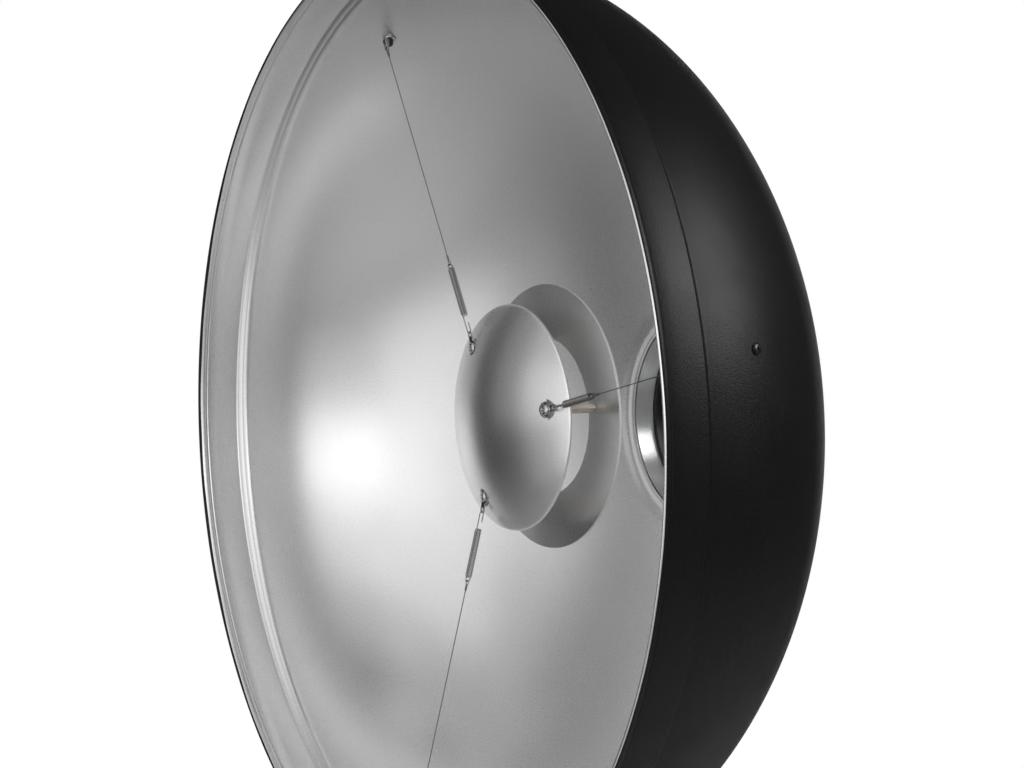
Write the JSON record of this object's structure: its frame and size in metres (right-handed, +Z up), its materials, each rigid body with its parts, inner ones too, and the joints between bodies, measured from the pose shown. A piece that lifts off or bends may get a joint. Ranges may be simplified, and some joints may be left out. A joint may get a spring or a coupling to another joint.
{
  "type": "beauty dish reflector",
  "caption": "Round studio flash reflector: a black dish, silver inside, on a round bayonet insert, with a domed deflector hung in front of the flash on sprung steel cables.",
  "frame": {"origin": "centre of the bayonet's seating face at the back, on the dish's axis", "axes": "+Y along the dish's axis towards the flash head, so the open front faces -Y; +X to the right seen from the front; +Z up"},
  "size_m": [0.7, 0.3189, 0.6998],
  "materials": {
    "dish_black": "matt black paint with a fine sand texture outside, satin silver paint inside",
    "silver_paint": "satin silver paint",
    "polished_aluminium": "turned and polished",
    "black_insert": "matt black",
    "zinc_steel": "bright zinc plating",
    "chrome": "polished",
    "nickel_steel": "plain nickel, slightly warm",
    "spring_steel": "drawn spring wire",
    "cable_steel": "stranded steel",
    "black_oxide": "black oxide",
    "brass": "turned"
  },
  "bodies": {
    "dish": {"dish_shell": "dish_black", "mount_ring": "polished_aluminium", "flange_rivets": "zinc_steel", "insert_ring": "black_insert", "bayonet_ring": "zinc_steel", "bayonet_screws": "black_oxide", "wall_screws": "black_oxide", "wall_cap_nuts": "black_oxide", "wall_lug_right": "zinc_steel", "wall_lug_upper": "zinc_steel", "wall_lug_lower": "zinc_steel"},
    "deflector": {"deflector_dome": "silver_paint", "deflector_plate": "silver_paint", "post_right": "nickel_steel", "post_upper": "nickel_steel", "post_lower": "nickel_steel", "dome_lug_right": "chrome", "dome_lug_upper": "chrome", "dome_lug_lower": "chrome", "dome_screws": "chrome", "plate_screws": "chrome", "plate_washers": "zinc_steel"},
    "line_right": {"cable_right": "cable_steel", "ferrules_right": "cable_steel", "spring_right": "spring_steel"},
    "line_upper": {"cable_upper": "cable_steel", "ferrules_upper": "cable_steel", "spring_upper": "spring_steel"},
    "line_lower": {"cable_lower": "cable_steel", "ferrules_lower": "cable_steel", "spring_lower": "spring_steel"},
    "clamp_tip_top": {"clamp_tip_top": "brass"},
    "clamp_screw_top": {"clamp_screw_top": "black_oxide"},
    "clamp_tip_left": {"clamp_tip_left": "brass"},
    "clamp_screw_left": {"clamp_screw_left": "black_oxide"},
    "clamp_tip_right": {"clamp_tip_right": "brass"},
    "clamp_screw_right": {"clamp_screw_right": "black_oxide"}
  },
  "joints": [
    {"name": "deflector_float", "type": "slide", "parent": "dish", "child": "deflector", "axis": [0, 1, 0], "range_m": [-0.005, 0.005], "stiffness_N_per_m": 120},
    {"name": "line_right_swing", "type": "hinge", "parent": "dish", "child": "line_right", "pos_m": [0.31911, -0.23153, 0.0506], "axis": [-0.1503, 0, 0.9886], "range_deg": [-1.2, 1.2]},
    {"name": "line_upper_swing", "type": "hinge", "parent": "dish", "child": "line_upper", "pos_m": [-0.13172, -0.23153, 0.29503], "axis": [-0.9268, 0, -0.3756], "range_deg": [-1.19, 1.19]},
    {"name": "line_lower_swing", "type": "hinge", "parent": "dish", "child": "line_lower", "pos_m": [-0.11064, -0.23155, -0.30356], "axis": [0.9447, 0, -0.3281], "range_deg": [-1.15, 1.15]},
    {"name": "clamp_top_travel", "type": "slide", "parent": "dish", "child": "clamp_tip_top", "axis": [0, 0, 1], "range_m": [0, 0.00405]},
    {"name": "clamp_top_turn", "type": "hinge", "parent": "clamp_tip_top", "child": "clamp_screw_top", "pos_m": [0, -0.0126, 0.085], "axis": [0, 0, 1], "range_deg": [0, 1800]},
    {"name": "clamp_left_travel", "type": "slide", "parent": "dish", "child": "clamp_tip_left", "axis": [-0.866, 0, -0.5], "range_m": [0, 0.00405]},
    {"name": "clamp_left_turn", "type": "hinge", "parent": "clamp_tip_left", "child": "clamp_screw_left", "pos_m": [-0.07361, -0.0126, -0.0425], "axis": [-0.866, 0, -0.5], "range_deg": [0, 1800]},
    {"name": "clamp_right_travel", "type": "slide", "parent": "dish", "child": "clamp_tip_right", "axis": [0.866, 0, -0.5], "range_m": [0, 0.00405]},
    {"name": "clamp_right_turn", "type": "hinge", "parent": "clamp_tip_right", "child": "clamp_screw_right", "pos_m": [0.07361, -0.0126, -0.0425], "axis": [0.866, 0, -0.5], "range_deg": [0, 1800]}
  ],
  "couplings": [
    {"joint": "line_right_swing", "follows": "deflector_float", "rad_per_m": -4.0922},
    {"joint": "line_upper_swing", "follows": "deflector_float", "rad_per_m": -4.0789},
    {"joint": "line_lower_swing", "follows": "deflector_float", "rad_per_m": -3.9405},
    {"joint": "clamp_top_travel", "follows": "clamp_top_turn", "m_per_rad": 0.00012732},
    {"joint": "clamp_left_travel", "follows": "clamp_left_turn", "m_per_rad": 0.00012732},
    {"joint": "clamp_right_travel", "follows": "clamp_right_turn", "m_per_rad": 0.00012732}
  ]
}
